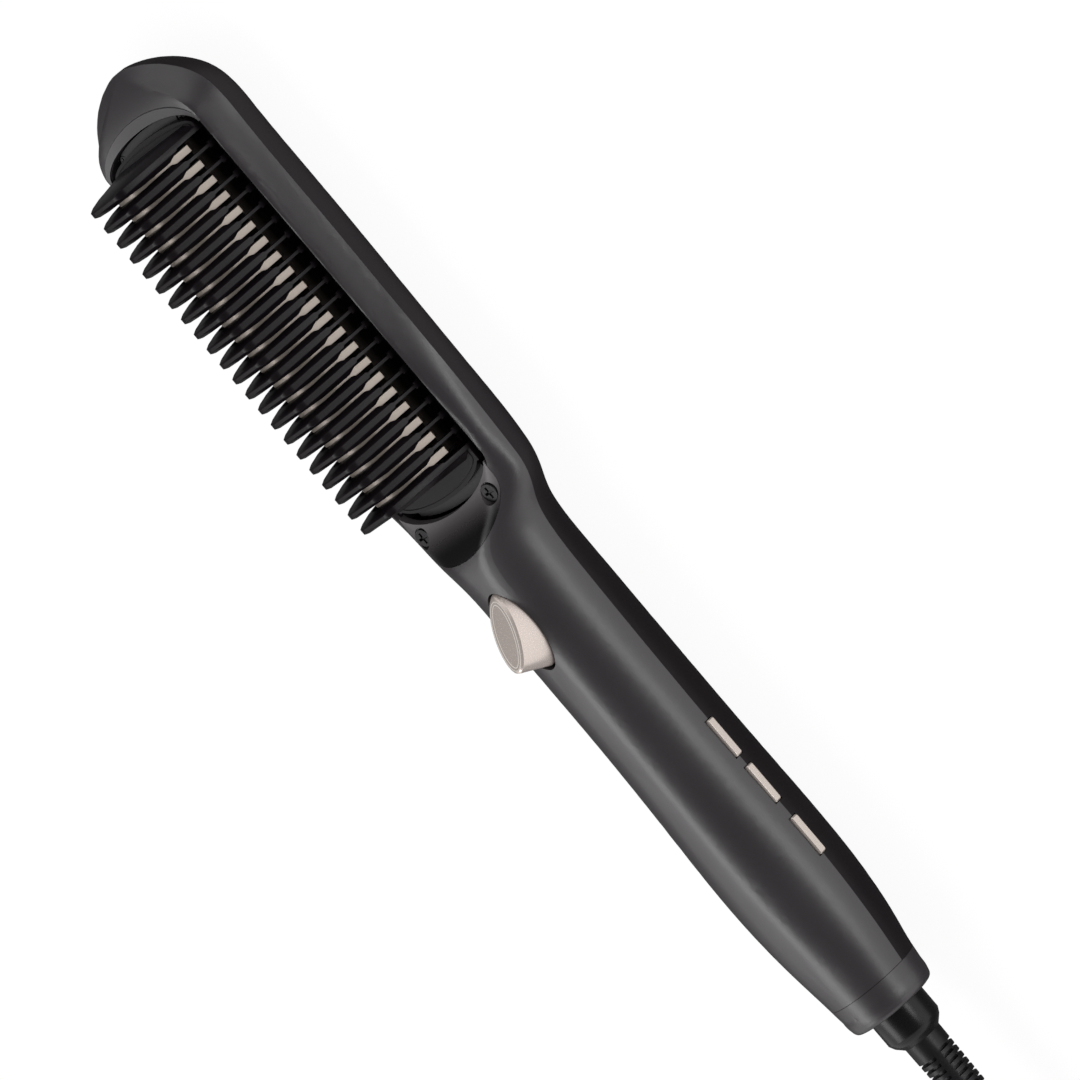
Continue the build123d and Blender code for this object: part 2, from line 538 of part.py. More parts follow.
def half_tooth(side, end_tooth):
    """One side of a tooth, about its middle plane; an end tooth is solid and wider on its outer side."""
    reach = END_HALF if end_tooth else RIM_HALF
    low = LEDGE_Z + SLIDE_GAP + 0.1 if end_tooth else RAIL_TOP
    inset = BEVEL_DEPTH * (reach - RIDGE_HALF) / (RIM_HALF - RIDGE_HALF)
    foot = ((0, low), (reach, low), (reach, TOOTH_BASE_Z)) if end_tooth else (
        (0, low), (WEB / 2, low), (WEB / 2, SHOULDER_LOW), (RIM_HALF, SHOULDER_HIGH))
    crown = (*LEAF, (0, TOOTH_TOP_Z))
    with BuildPart() as half:
        with BuildSketch(Plane.YZ):
            add(tooth_outline(0, low))
        extrude(amount=RIDGE_HALF)
        with BuildSketch(Plane.YZ.offset(RIDGE_HALF)):
            add(tooth_outline(0, low))
        with BuildSketch(Plane.YZ.offset(reach)):
            add(tooth_outline(inset, low, TOOTH_TOP_Z - inset, TOOTH_ROUND - inset / 2))
        loft(ruled=True)
        with BuildSketch(Plane.XZ):
            with BuildLine():
                Polyline(*foot, *crown, close=True)
            make_face()
        extrude(amount=2 * TOOTH_BASE_HALF, both=True, mode=Mode.INTERSECT)
        if not end_tooth:
            with BuildSketch(Plane.YZ.offset(WEB / 2)):
                add(tooth_outline(RIM_DEPTH, low, FIN_TOP_Z + FIN_CLEARANCE, FIN_ROUND))
            extrude(amount=RIM_HALF, mode=Mode.SUBTRACT)
        if side < 0:
            mirror(about=Plane.YZ, mode=Mode.REPLACE)
    return half.part


def tooth(tip_end, tail_end):
    """A whole tooth, cut out over the heated plate unless it stands on an end plate."""
    with BuildPart() as whole:
        add(half_tooth(-1, tip_end))
        add(half_tooth(1, tail_end))
        if not (tip_end or tail_end):
            with Locations((0, 0, 0)):
                Box(
                    2 * RIM_HALF, 2 * (TOOTH_BASE_HALF - LEG), PLATE_TOP + FIN_CLEARANCE,
                    align=ON_TOP, mode=Mode.SUBTRACT,
                )
            for side in (1, -1):
                with Locations((0, side * (TOOTH_BASE_HALF - HEAD_DEPTH / 2), RAIL_TOP)):
                    Box(HEAD_WIDTH, HEAD_DEPTH, TOOTH_BASE_Z - RAIL_TOP, align=ON_TOP)
    return whole.part


last_tooth = FIRST_TOOTH + (TOOTH_COUNT - 1) * PITCH
comb_start, comb_end = FIRST_TOOTH - 1.9, last_tooth + 4.3


def end_plates(inset):
    """Plan of the plates at the comb's ends, as a sketch: each bows out from its end tooth."""
    with BuildSketch() as plan:
        for inner, bow_start, bow in (
            (FIRST_TOOTH + WEB / 2, FIRST_TOOTH - COMB_TIP_FLAT, COMB_TIP_BOW),
            (last_tooth - WEB / 2, last_tooth + COMB_TAIL_FLAT, COMB_TAIL_BOW),
        ):
            with Locations((at((inner + bow_start) / 2), 0)):
                Rectangle(abs(inner - bow_start), 2 * (TOOTH_BASE_HALF - inset))
            with Locations((at(bow_start), 0)):
                Ellipse(bow - inset, TOOTH_BASE_HALF - inset)
        with Locations((at((FIRST_TOOTH + last_tooth) / 2), 0)):
            Rectangle(last_tooth - FIRST_TOOTH - WEB, 4 * TOOTH_BASE_HALF, mode=Mode.SUBTRACT)
    return plan.sketch


# Comb: rails, end plates and teeth in one moulding
with BuildPart() as comb:
    for side in (1, -1):
        with Locations((at((comb_start + comb_end) / 2), side * (RAIL_IN + TOOTH_BASE_HALF) / 2, RAIL_LOW)):
            Box(comb_end - comb_start, TOOTH_BASE_HALF - RAIL_IN, RAIL_TOP - RAIL_LOW, align=ON_TOP)
        for start, end in ((comb_start, FIRST_TOOTH + WEB / 2), (last_tooth - WEB / 2, comb_end)):
            with Locations((at((start + end) / 2), side * (RAIL_IN + TOOTH_BASE_HALF) / 2, RAIL_LOW)):
                Box(end - start, TOOTH_BASE_HALF - RAIL_IN, LIP_Z - RAIL_LOW, align=ON_TOP)
    with Locations((at(comb_end - END_BAR / 2), 0, RAIL_LOW)):
        Box(END_BAR, 2 * TOOTH_BASE_HALF, RAIL_TOP - RAIL_LOW, align=ON_TOP)
    with BuildSketch(Plane.XY.offset(LIP_Z - END_PLATE)):
        add(end_plates(0.0))
    extrude(amount=END_PLATE)
    with BuildSketch(Plane.XY.offset(LIP_Z)):
        add(end_plates(GROOVE_IN))
        add(end_plates(GROOVE_IN + GROOVE), mode=Mode.SUBTRACT)
    extrude(amount=-GROOVE_DEPTH, mode=Mode.SUBTRACT)
    with Locations((at(FIRST_TOOTH), 0, 0)):
        add(tooth(True, False))
    with Locations((at(last_tooth), 0, 0)):
        add(tooth(False, True))
    with Locations(*[(at(FIRST_TOOTH + i * PITCH), 0, 0) for i in range(1, TOOTH_COUNT - 1)]):
        add(tooth(False, False))
    with Locations((at(comb_end - END_BAR / 2), 0, RAIL_LOW)):
        Cylinder(SCREW_HOLE_R, 4.0, mode=Mode.SUBTRACT)

# Link rod: screwed under the comb's end bar, stepped up through the neck to a fork round the crank's pin
rod_start = comb_end - END_BAR
rod_low = RAIL_LOW - ROD_THICK
link_z = PIVOT[1] - CRANK
fork_low = link_z - LINK_PIN_R - FORK_FLOOR
fork_top = link_z + FORK_RISE
with BuildPart() as link_rod:
    with BuildSketch(Plane.XZ):
        with BuildLine():
            Polyline(
                (at(rod_start), rod_low), (at(ROD_RISE[0]), rod_low), (at(ROD_RISE[1]), fork_low),
                (at(PIVOT[0] + FORK_REACH), fork_low), (at(PIVOT[0] + FORK_REACH), fork_top),
                (at(PIVOT[0] - FORK_REACH), fork_top), (at(PIVOT[0] - 2 * FORK_REACH), fork_low + ROD_THICK),
                (at(ROD_RISE[1] - 0.6), fork_low + ROD_THICK), (at(ROD_RISE[0] - 0.6), RAIL_LOW),
                (at(rod_start), RAIL_LOW), close=True,
            )
        make_face()
    extrude(amount=ROD_HALF, both=True)
    with Locations((at(PIVOT[0] + FORK_REACH), 0, fork_low)):
        Box(5 * FORK_REACH, 2 * FORK_IN, 3 * ROD_THICK, align=ON_TOP, mode=Mode.SUBTRACT)
    with Locations((at(PIVOT[0]), 0, link_z - LINK_PIN_R - FORK_PLAY)):
        Box(2 * (LINK_PIN_R + FORK_PLAY), 4 * ROD_HALF, 3 * ROD_THICK, align=ON_TOP, mode=Mode.SUBTRACT)
    with Locations((at(comb_end - END_BAR / 2), 0, RAIL_LOW)):
        Cylinder(SCREW_HOLE_R, 3 * ROD_THICK, mode=Mode.SUBTRACT)

with BuildPart() as link_screw:
    with Locations(Location((at(comb_end - END_BAR / 2), 0, rod_low - 0.9), (180, 0, 0))):
        add(screw(2.0, 0.9, SHANK_R, 3.6, 1.3))

# Trigger: an oval that stands out of the slot with a sloping face, its hub and crank inside
lever_face = Plane((at(LEVER_FACE[0]), 0, LEVER_FACE_Z), x_dir=(1, 0, LEVER_SLOPE), z_dir=(-LEVER_SLOPE, 0, 1))
with BuildPart() as trigger:
    with BuildSketch(Plane.XY.offset(LEVER_BASE_Z)):
        with Locations((at(LEVER_BASE[0]), 0)):
            Ellipse(LEVER_BASE[1], LEVER_BASE[2])
    with BuildSketch(lever_face):
        Ellipse(LEVER_FACE[1] * hypot(1, LEVER_SLOPE), LEVER_FACE[2])
    loft()
    chamfer(faces().sort_by(Axis(lever_face.origin, lever_face.z_dir))[-1].edges(), LEVER_BEVEL)
    with BuildSketch(Plane.XY.offset(LEVER_BASE_Z)):
        with Locations((at(LEVER_BASE[0]), 0)):
            Ellipse(LEVER_BASE[1], LEVER_BASE[2])
    extrude(amount=LEVER_LOW - LEVER_BASE_Z)
    with Locations((at(PIVOT[0]), 0, PIVOT[1])):
        Cylinder(HUB_R, 2 * HUB_HALF, rotation=(90, 0, 0))
    with Locations((at(PIVOT[0]), 0, link_z - LINK_PIN_R - 0.6)):
        Box(CRANK_WIDTH, 2 * CRANK_HALF, CRANK, align=ON_TOP)
    with Locations((at(PIVOT[0]), 0, PIVOT[1])):
        Cylinder(PIVOT_R + RUNNING, 4 * LEVER_BASE[2], rotation=(90, 0, 0), mode=Mode.SUBTRACT)
    with Locations((at(PIVOT[0]), 0, link_z)):
        Cylinder(LINK_PIN_R + PIN_GAP, 4 * LEVER_BASE[2], rotation=(90, 0, 0), mode=Mode.SUBTRACT)

with BuildPart() as trigger_pin:
    with Locations((at(PIVOT[0]), 0, PIVOT[1])):
        Cylinder(PIVOT_R, 2 * EAR_OUT, rotation=(90, 0, 0))

with BuildPart() as link_pin:
    with Locations((at(PIVOT[0]), 0, link_z)):
        Cylinder(LINK_PIN_R, 2 * LINK_PIN_HALF, rotation=(90, 0, 0))

spring_height = LEVER_LOW - SPRING_LOW - 2 * SPRING_WIRE_R
with BuildPart() as return_spring:
    with BuildLine():
        coil = Helix(
            SPRING_PITCH, spring_height, SPRING_R, center=(at(SPRING_STATION), 0, SPRING_LOW + SPRING_WIRE_R)
        )
    with BuildSketch(Plane(origin=coil @ 0, z_dir=coil % 0)):
        Circle(SPRING_WIRE_R)
    sweep()

# Side board with its switches, and the three buttons with their plungers
with BuildPart() as button_board:
    with Locations((at((SIDE_BOARD_START + SIDE_BOARD_END) / 2), SIDE_BOARD_W + SIDE_BOARD / 2, board_top)):
        Box(SIDE_BOARD_END - SIDE_BOARD_START, SIDE_BOARD, SIDE_BOARD_TOP - board_top, align=ON_TOP)

switch_face = SIDE_BOARD_W + SIDE_BOARD + SWITCH_DEPTH
with BuildPart() as tact_switches:
    for name, station in BUTTONS:
        with Locations((at(station), switch_face - SWITCH_DEPTH / 2, parting_z(station))):
            Box(SWITCH_SIZE, SWITCH_DEPTH, SWITCH_SIZE)
        with BuildSketch(Plane.XZ.offset(-switch_face)):
            with Locations((at(station), parting_z(station))):
                Circle(PLUNGER_R + 2 * RUNNING)
        extrude(amount=SWITCH_DEPTH - SWITCH_FLOOR, mode=Mode.SUBTRACT)

plunger_face = switch_face + PLUNGER_PROUD


def button(station):
    """A side button: its face, the flange that keeps it in and the stem to its switch."""
    face = surface(station, 1) + BUTTON_PROUD
    flange = surface(station, 1) - WALL - FLANGE_GAP
    middle = (at(station), parting_z(station))
    with BuildPart() as made:
        with BuildSketch(Plane.XZ.offset(-flange)):
            with Locations(middle):
                RectangleRounded(BUTTON_LENGTH, BUTTON_HEIGHT, BUTTON_ROUND)
        extrude(amount=flange - face)
        chamfer(faces().sort_by(Axis.Y)[-1].edges(), BUTTON_ROUND / 2)
        with BuildSketch(Plane.XZ.offset(-flange)):
            with Locations(middle):
                Rectangle(BUTTON_LENGTH + 2 * BUTTON_FLANGE, BUTTON_HEIGHT + 2 * BUTTON_FLANGE)
        extrude(amount=BUTTON_FLANGE)
        with BuildSketch(Plane.XZ.offset(BUTTON_FLANGE - flange)):
            with Locations(middle):
                Circle(STEM_R)
        extrude(amount=flange - BUTTON_FLANGE - plunger_face)
    return made.part


def plunger(station):
    """The plunger of a switch, which the button's stem pushes."""
    with BuildPart() as made:
        with BuildSketch(Plane.XZ.offset(-plunger_face)):
            with Locations((at(station), parting_z(station))):
                Circle(PLUNGER_R)
        extrude(amount=PLUNGER_LENGTH)
    return made.part


# Control board, what stands on it and the leads to the heater
with BuildPart() as control_board:
    with Locations((at((BOARD_START + BOARD_END) / 2), 0, BOARD_Z)):
        Box(BOARD_END - BOARD_START, 2 * BOARD_HALF, BOARD, align=ON_TOP)
    with Locations(*[(at(station), 0, BOARD_Z) for station in (BOARD_RIBS[0], BOARD_RIBS[-1])]):
        Cylinder(SCREW_HOLE_R, 4 * BOARD, mode=Mode.SUBTRACT)

with BuildPart() as board_screws:
    with Locations(*[(at(station), 0, board_top + 1.0) for station in (BOARD_RIBS[0], BOARD_RIBS[-1])]):
        add(screw(2.2, 1.0, SHANK_R, 5.5, 1.4))

with BuildPart() as board_parts:
    with Locations((at(195.0), -2.5, board_top + 4.0)):
        Cylinder(4.0, 14.0, rotation=(0, 90, 0))
    with Locations((at(212.0), -3.0, board_top)):
        Box(9.0, 11.0, 7.0, align=ON_TOP)
    with Locations((at(226.0), -3.0, board_top)):
        Cylinder(4.0, 8.5, align=ON_TOP)
    with Locations((at(239.0), -2.5, board_top)):
        Box(8.0, 4.0, 9.0, align=ON_TOP)

lead_z = heater_low + HEATER_THICK / 2
run_z = chassis_top + LEAD_R + 0.5
heater_tail = (plate_start + plate_end) / 2 + heater_length / 2
with BuildPart() as heater_leads:
    for side in (1, -1):
        with BuildLine():
            route = FilletPolyline(
                (at(heater_tail), side * LEAD_W, lead_z),
                (at(heater_tail + 4), side * LEAD_W, lead_z),
                (at(heater_tail + 8), side * LEAD_W, run_z),
                (at(BOARD_START - 10), side * LEAD_W, run_z),
                (at(BOARD_START - 4), side * LEAD_W, board_top + LEAD_R),
                (at(BOARD_START + 1), side * LEAD_W, board_top + LEAD_R),
                radius=1.6,
            )
        with BuildSketch(Plane(origin=route @ 0, z_dir=route % 0)):
            Circle(LEAD_R)
        sweep()

# Cord end: cap, bush, the collar that turns in it, its contact and the slotted sleeve
flange_start = CAP_END - CAP_WALL - COLLAR_GAP - FLANGE_LENGTH
with BuildPart() as end_cap:
    add(outer)
    split(bisect_by=Plane.YZ.offset(at(CAP_SEAM)), keep=Keep.TOP)
    with BuildSketch(Plane.YZ.offset(at(CAP_SEAM - SPIGOT_LENGTH))):
        with Locations((0, AXIS_Z)):
            Circle(SPIGOT_R)
    extrude(amount=SPIGOT_LENGTH)
    with BuildSketch(Plane.YZ.offset(at(CAP_SEAM - SPIGOT_LENGTH))):
        with Locations((0, AXIS_Z)):
            Circle(SPIGOT_R - SPIGOT)
    extrude(amount=SPIGOT_LENGTH, mode=Mode.SUBTRACT)
    with BuildSketch(Plane.YZ.offset(at(CAP_SEAM))):
        with Locations((0, AXIS_Z)):
            Circle(CAP_BORE_R)
    extrude(amount=CAP_END - CAP_WALL - CAP_SEAM, mode=Mode.SUBTRACT)
    with BuildSketch(Plane.YZ.offset(at(CAP_SEAM))):
        with Locations((0, AXIS_Z)):
            Circle(COLLAR_R + COLLAR_GAP)
    extrude(amount=CAP_END, mode=Mode.SUBTRACT)

with BuildPart() as swivel_bush:
    with BuildSketch(Plane.YZ.offset(at(flange_start - COLLAR_GAP - BUSH_LENGTH + 1))):
        with Locations((0, AXIS_Z)):
            Circle(SPIGOT_R - SPIGOT)
            Circle(COLLAR_R + COLLAR_GAP, mode=Mode.SUBTRACT)
    extrude(amount=BUSH_LENGTH - 1)

with BuildPart() as swivel_collar:
    with BuildSketch(Plane.XZ):
        with BuildLine():
            Polyline(
                *[(at(station), AXIS_Z + radius) for station, radius in (
                    (COLLAR_START, 0), (COLLAR_START, COLLAR_R), (flange_start, COLLAR_R),
                    (flange_start, FLANGE_R), (flange_start + FLANGE_LENGTH, FLANGE_R),
                    (flange_start + FLANGE_LENGTH, COLLAR_R), (COLLAR_END, COLLAR_R),
                    (COLLAR_END + 1.4, COLLAR_R - 0.7), (SHOULDER_END, RELIEF_R), (SHOULDER_END, 0),
                )],
                close=True,
            )
        make_face()
    revolve(axis=Axis((0, 0, AXIS_Z), (1, 0, 0)))

with BuildPart() as swivel_contact:
    with BuildSketch(Plane.YZ.offset(at(CONTACT_START))):
        with Locations((0, AXIS_Z)):
            Circle(CONTACT_R)
    extrude(amount=COLLAR_START - CONTACT_START)

with BuildPart() as contact_block:
    with BuildSketch(Plane.YZ.offset(at(BLOCK_START))):
        with Locations((0, AXIS_Z)):
            Circle(BLOCK_R)
    extrude(amount=BLOCK_LENGTH)
    with BuildSketch(Plane.YZ.offset(at(CONTACT_START - 1))):
        with Locations((0, AXIS_Z)):
            Circle(CONTACT_R + 2 * RUNNING)
    extrude(amount=BLOCK_LENGTH, mode=Mode.SUBTRACT)

slot_cutters = []
for side in (1, -1):
    with BuildPart() as slot_cutter:
        with BuildSketch(Plane.YZ.offset(at(SHOULDER_END + RELIEF_FIRST + (0.5 * RELIEF_PITCH if side > 0 else 0)))):
            with Locations((0, AXIS_Z)):
                Circle(1.2 * RELIEF_R)
            with Locations(Location((0, AXIS_Z), SPINE_ANGLE)):
                with Locations((0, side * (SPINE_HALF + RELIEF_R))):
                    Rectangle(4 * RELIEF_R, 2 * RELIEF_R, mode=Mode.INTERSECT)
            with Locations((0, AXIS_Z)):
                Circle(RELIEF_CORE, mode=Mode.SUBTRACT)
        extrude(amount=RELIEF_SLOT)
    slot_cutters.append(slot_cutter.part)

with BuildPart() as strain_relief:
    for station, radius in ((SHOULDER_END, RELIEF_R), (LENGTH, RELIEF_END_R)):
        with BuildSketch(Plane.YZ.offset(at(station))):
            with Locations((0, AXIS_Z)):
                Circle(radius)
    loft()
    with Locations(*[(i * RELIEF_PITCH, 0, 0) for i in range(RELIEF_SLOTS)]):
        for cutter in slot_cutters:
            add(cutter, mode=Mode.SUBTRACT)
    with BuildSketch(Plane.YZ.offset(at(LENGTH - CORD_BORE))):
        with Locations((0, AXIS_Z)):
            Circle(CORD_BORE_R)
    extrude(amount=CORD_BORE, mode=Mode.SUBTRACT)

os.makedirs("parts", exist_ok=True)
front_shell.part.label = "front_shell"
export_step(front_shell.part, "parts/front_shell.step")
rear_shell.part.label = "rear_shell"
export_step(rear_shell.part, "parts/rear_shell.step")
cover_plate.part.label = "cover_plate"
export_step(cover_plate.part, "parts/cover_plate.step")
cover_screws.part.label = "cover_screws"
export_step(cover_screws.part, "parts/cover_screws.step")
chassis.part.label = "chassis"
export_step(chassis.part, "parts/chassis.step")
tip_screws.part.label = "tip_screws"
export_step(tip_screws.part, "parts/tip_screws.step")
heat_plate.part.label = "heat_plate"
export_step(heat_plate.part, "parts/heat_plate.step")
plate_screws.part.label = "plate_screws"
export_step(plate_screws.part, "parts/plate_screws.step")
heater.part.label = "heater"
export_step(heater.part, "parts/heater.step")
heater_clip.part.label = "heater_clip"
export_step(heater_clip.part, "parts/heater_clip.step")
thermal_fuse.part.label = "thermal_fuse"
export_step(thermal_fuse.part, "parts/thermal_fuse.step")
thermistor.part.label = "thermistor"
export_step(thermistor.part, "parts/thermistor.step")
comb.part.label = "comb"
export_step(comb.part, "parts/comb.step")
link_rod.part.label = "link_rod"
export_step(link_rod.part, "parts/link_rod.step")
link_screw.part.label = "link_screw"
export_step(link_screw.part, "parts/link_screw.step")
trigger.part.label = "trigger"
export_step(trigger.part, "parts/trigger.step")
trigger_pin.part.label = "trigger_pin"
export_step(trigger_pin.part, "parts/trigger_pin.step")
link_pin.part.label = "link_pin"
export_step(link_pin.part, "parts/link_pin.step")
return_spring.part.label = "return_spring"
export_step(return_spring.part, "parts/return_spring.step")
control_board.part.label = "control_board"
export_step(control_board.part, "parts/control_board.step")
board_parts.part.label = "board_parts"
export_step(board_parts.part, "parts/board_parts.step")
board_screws.part.label = "board_screws"
export_step(board_screws.part, "parts/board_screws.step")
button_board.part.label = "button_board"
export_step(button_board.part, "parts/button_board.step")
tact_switches.part.label = "tact_switches"
export_step(tact_switches.part, "parts/tact_switches.step")
heater_leads.part.label = "heater_leads"
export_step(heater_leads.part, "parts/heater_leads.step")
end_cap.part.label = "end_cap"
export_step(end_cap.part, "parts/end_cap.step")
swivel_bush.part.label = "swivel_bush"
export_step(swivel_bush.part, "parts/swivel_bush.step")
contact_block.part.label = "contact_block"
export_step(contact_block.part, "parts/contact_block.step")
swivel_collar.part.label = "swivel_collar"
export_step(swivel_collar.part, "parts/swivel_collar.step")
swivel_contact.part.label = "swivel_contact"
export_step(swivel_contact.part, "parts/swivel_contact.step")
strain_relief.part.label = "strain_relief"
export_step(strain_relief.part, "parts/strain_relief.step")
for name, station in BUTTONS:
    for node, piece in ((f"button_{name}", button(station)), (f"{name}_plunger", plunger(station))):
        piece.label = node
        export_step(piece, f"parts/{node}.step")
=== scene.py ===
import json
from math import radians

import bmesh
import bpy
from mathutils import Matrix, Vector

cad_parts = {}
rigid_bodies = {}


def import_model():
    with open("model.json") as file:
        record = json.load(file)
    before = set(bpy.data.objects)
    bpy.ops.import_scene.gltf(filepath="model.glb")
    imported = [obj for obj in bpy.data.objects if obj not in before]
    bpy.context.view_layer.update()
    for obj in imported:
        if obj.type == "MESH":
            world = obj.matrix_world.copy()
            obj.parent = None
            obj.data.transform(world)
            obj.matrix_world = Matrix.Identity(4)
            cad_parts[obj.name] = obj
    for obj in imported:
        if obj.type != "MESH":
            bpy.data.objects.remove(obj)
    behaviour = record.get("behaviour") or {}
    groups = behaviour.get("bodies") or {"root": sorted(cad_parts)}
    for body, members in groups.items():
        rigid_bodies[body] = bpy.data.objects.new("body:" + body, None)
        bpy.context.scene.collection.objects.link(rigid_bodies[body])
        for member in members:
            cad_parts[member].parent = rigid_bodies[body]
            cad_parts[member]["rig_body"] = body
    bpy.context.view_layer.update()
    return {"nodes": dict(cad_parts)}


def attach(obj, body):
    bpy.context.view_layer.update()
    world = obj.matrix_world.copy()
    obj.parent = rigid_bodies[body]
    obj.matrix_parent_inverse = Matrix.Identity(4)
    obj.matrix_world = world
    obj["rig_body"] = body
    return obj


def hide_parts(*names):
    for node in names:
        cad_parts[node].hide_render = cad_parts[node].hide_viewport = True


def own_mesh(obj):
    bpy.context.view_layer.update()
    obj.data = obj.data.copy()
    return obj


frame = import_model()
nodes = frame["nodes"]
MM = 0.001
HALF_LENGTH = 166.5      # the origin lies under the middle of the brush


def at(station):
    """X in metres of a station, which is measured in millimetres from the tip of the head."""
    return (station - HALF_LENGTH) * MM


# Camera: looks down across the brush from the side with the buttons
toward = Vector((-0.0915, 0.766, 0.643)).normalized()
side = Vector((0, 0.643, -0.766)).normalized()
along = side.cross(toward)
right = (0.648 * along + 0.7615 * side).normalized()
up = toward.cross(right)
aim = Vector((at(146.3), 0, 16 * MM)) + 7.22 * MM * side
distance = 2.6
camera = bpy.data.objects.new("camera", bpy.data.cameras.new("camera"))
bpy.context.scene.collection.objects.link(camera)
bpy.context.scene.camera = camera
camera.data.sensor_width = 36
camera.data.lens = 36 * distance / 0.2512
camera.data.clip_start, camera.data.clip_end = 0.1, 20
turned = Matrix((right, up, toward)).transposed().to_4x4()
camera.matrix_world = Matrix.Translation(aim + distance * toward) @ turned

# Light: a broad soft box behind the brush, a low one in front, and a studio that is dark round the camera
scene = bpy.context.scene
scene.view_settings.view_transform = "Standard"


def soft_box(name, place, size, power, target=(0, 0, 0.015)):
    """A rectangular area light that points at the brush."""
    lamp = bpy.data.objects.new(name, bpy.data.lights.new(name, "AREA"))
    lamp.data.shape = "RECTANGLE"
    lamp.data.size, lamp.data.size_y = size
    lamp.data.energy = power
    lamp.location = place
    lamp.rotation_mode = "QUATERNION"
    lamp.rotation_quaternion = (Vector(target) - lamp.location).to_track_quat("-Z", "Y")
    scene.collection.objects.link(lamp)


soft_box("back_light", (0.1, -0.85, 1.45), (2.0, 0.7), 11)
soft_box("front_light", (0.2, 1.8, 0.3), (1.6, 0.4), 8)


def ray_share(tree, names, share=1.0):
    """A number that is share for the named kinds of ray and nothing for the others."""
    path = tree.nodes.new("ShaderNodeLightPath")
    value = path.outputs[names[0]]
    for name in names[1:]:
        either = tree.nodes.new("ShaderNodeMath")
        either.operation = "MAXIMUM"
        tree.links.new(value, either.inputs[0])
        tree.links.new(path.outputs[name], either.inputs[1])
        value = either.outputs[0]
    scaled = tree.nodes.new("ShaderNodeMath")
    scaled.operation = "MULTIPLY"
    scaled.inputs[1].default_value = share
    tree.links.new(value, scaled.inputs[0])
    return scaled.outputs[0]


def blend_by_ray(tree, names, share, other, seen):
    """Shows the shader called seen to the named rays and the other one to the rest."""
    mix = tree.nodes.new("ShaderNodeMixShader")
    tree.links.new(ray_share(tree, names, share), mix.inputs["Fac"])
    tree.links.new(other, mix.inputs[1])
    tree.links.new(seen, mix.inputs[2])
    return mix.outputs[0]


world = bpy.data.worlds.new("studio")
scene.world = world
world.use_nodes = True
sky = world.node_tree
sky.nodes["Background"].inputs["Color"].default_value = (1, 1, 1, 1)
sky.nodes["Background"].inputs["Strength"].default_value = 0.4
white = sky.nodes.new("ShaderNodeBackground")
white.inputs["Color"].default_value = (1, 1, 1, 1)
walls = sky.nodes.new("ShaderNodeBackground")
direction = sky.nodes.new("ShaderNodeTexCoord")


def dark_screen(towards, begins, full, tone):
    """The tone of the studio's walls round a screen: 1 away from it and tone at its middle."""
    nearness = sky.nodes.new("ShaderNodeVectorMath")
    nearness.operation = "DOT_PRODUCT"
    nearness.inputs[1].default_value = Vector(towards).normalized()
    level = sky.nodes.new("ShaderNodeMapRange")
    level.interpolation_type = "SMOOTHSTEP"
    for name, value in (("From Min", begins), ("From Max", full), ("To Min", 1.0), ("To Max", tone)):
        level.inputs[name].default_value = value
    sky.links.new(direction.outputs["Generated"], nearness.inputs[0])
    sky.links.new(nearness.outputs["Value"], level.inputs["Value"])
    return level.outputs["Result"]


both = sky.nodes.new("ShaderNodeMath")
both.operation = "MULTIPLY"
sky.links.new(dark_screen((0, 0.64, 0.77), 0.35, 0.8, 0.08), both.inputs[0])
sky.links.new(dark_screen((-0.40, -0.90, 0.15), 0.72, 0.92, 0.08), both.inputs[1])
sky.links.new(both.outputs[0], walls.inputs["Strength"])
studio = blend_by_ray(sky, ["Is Glossy Ray"], 1.0, sky.nodes["Background"].outputs[0], walls.outputs[0])
studio = blend_by_ray(sky, ["Is Camera Ray", "Is Transmission Ray"], 1.0, studio, white.outputs[0])
sky.links.new(studio, sky.nodes["World Output"].inputs["Surface"])


def group(name, inputs, outputs):
    """An empty shader group with its sockets, its input node and its output node."""
    tree = bpy.data.node_groups.new(name, "ShaderNodeTree")
    for label, kind, value in inputs:
        socket = tree.interface.new_socket(label, in_out="INPUT", socket_type=kind)
        socket.default_value = value
    for label, kind in outputs:
        tree.interface.new_socket(label, in_out="OUTPUT", socket_type=kind)
    return tree, tree.nodes.new("NodeGroupInput"), tree.nodes.new("NodeGroupOutput")


def noise(tree, scale, detail, stretch=(1, 1, 1)):
    """A noise texture on Object coordinates, stretched by a Mapping node."""
    place = tree.nodes.new("ShaderNodeTexCoord")
    mapping = tree.nodes.new("ShaderNodeMapping")
    mapping.inputs["Scale"].default_value = stretch
    texture = tree.nodes.new("ShaderNodeTexNoise")
    texture.inputs["Scale"].default_value = scale
    texture.inputs["Detail"].default_value = detail
    tree.links.new(place.outputs["Object"], mapping.inputs["Vector"])
    tree.links.new(mapping.outputs["Vector"], texture.inputs["Vector"])
    return texture


def spread(tree, source, low, high):
    """Maps a noise, whose values keep near the middle, to the range between two sockets or numbers."""
    span = tree.nodes.new("ShaderNodeMapRange")
    span.inputs["From Min"].default_value, span.inputs["From Max"].default_value = 0.32, 0.68
    tree.links.new(source, span.inputs["Value"])
    for value, name in ((low, "To Min"), (high, "To Max")):
        if isinstance(value, (int, float)):
            span.inputs[name].default_value = value
        else:
            tree.links.new(value, span.inputs[name])
    return span.outputs["Result"]


